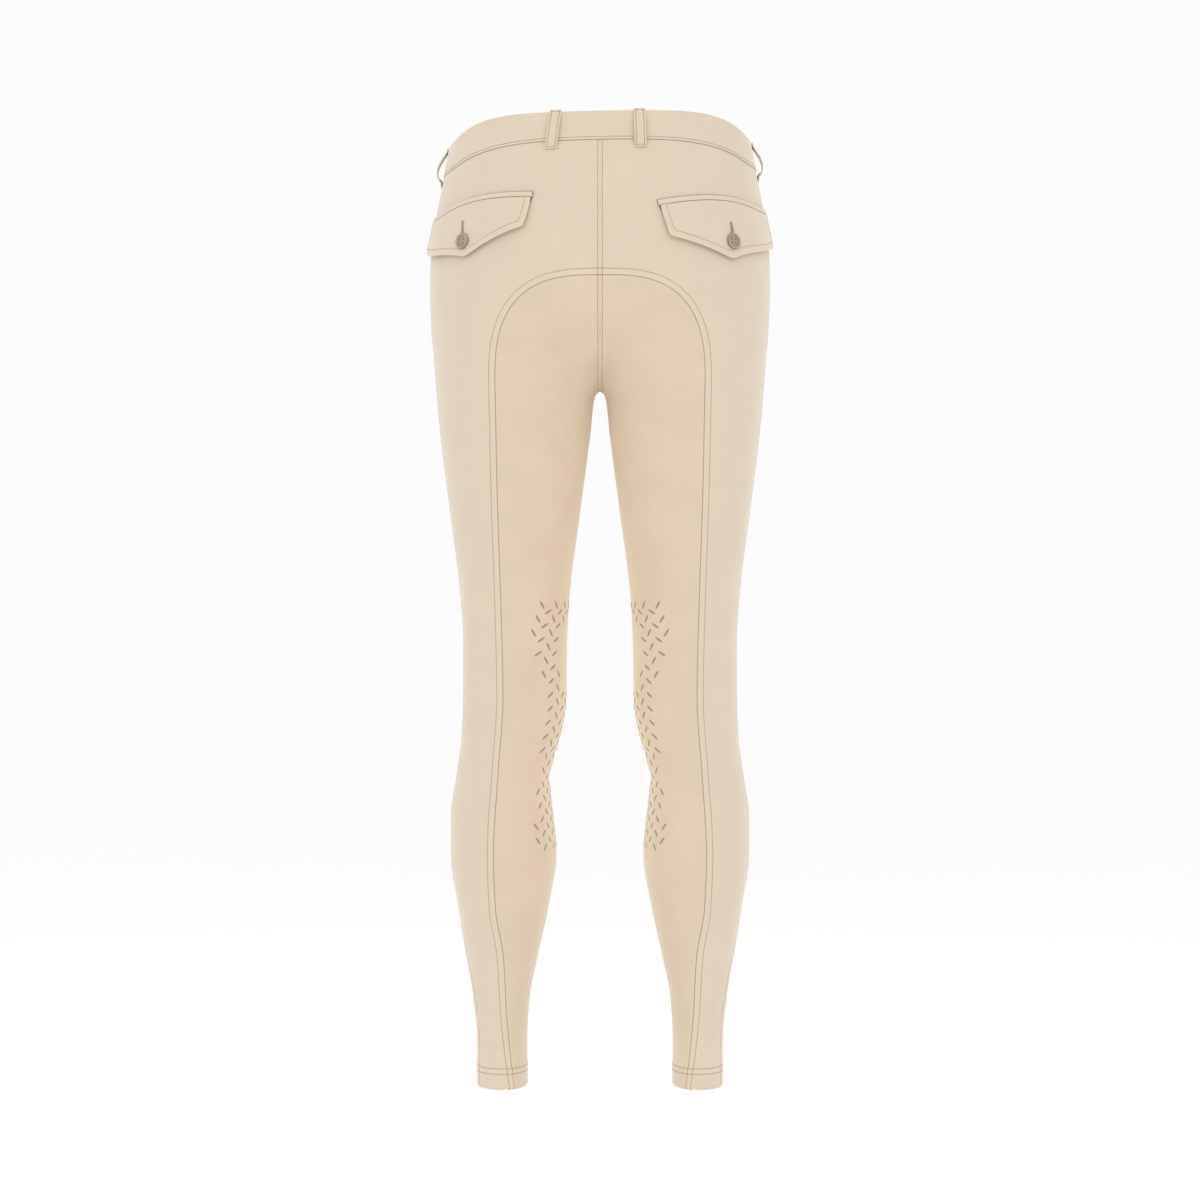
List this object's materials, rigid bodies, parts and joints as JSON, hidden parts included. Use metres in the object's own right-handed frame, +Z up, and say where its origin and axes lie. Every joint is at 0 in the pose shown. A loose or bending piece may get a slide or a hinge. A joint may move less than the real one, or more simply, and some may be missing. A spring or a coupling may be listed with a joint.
{
  "type": "riding breeches",
  "caption": "Hollow full-seat riding breeches in their worn shape: belt-looped waistband, two buttoned back flap pockets, arched seat panel and long close legs.",
  "frame": {"origin": "middle of the waist opening, level with the top of the waistband at the sides", "axes": "+Z up, +X to the wearer's left, -Y to the front"},
  "size_m": [0.3582, 0.2495, 0.9963],
  "materials": {
    "breeches_cloth": "matt cream stretch twill",
    "seat_cloth": "matt cream stretch twill, a shade deeper",
    "horn_button": "grey-brown horn look, satin"
  },
  "bodies": {
    "root": {"front_left": "breeches_cloth", "front_right": "breeches_cloth", "back_left": "breeches_cloth", "back_right": "breeches_cloth", "waistband": "breeches_cloth", "loop_back_left": "breeches_cloth", "loop_back_right": "breeches_cloth", "loop_side_left": "breeches_cloth", "loop_side_right": "breeches_cloth", "loop_front_left": "breeches_cloth", "loop_front_right": "breeches_cloth", "pocket_welt_left": "breeches_cloth", "pocket_welt_right": "breeches_cloth", "pocket_flap_left": "breeches_cloth", "pocket_flap_right": "breeches_cloth", "seat_left": "seat_cloth", "seat_right": "seat_cloth", "pocket_button_left": "horn_button", "pocket_button_right": "horn_button", "waist_button": "horn_button"}
  },
  "joints": []
}
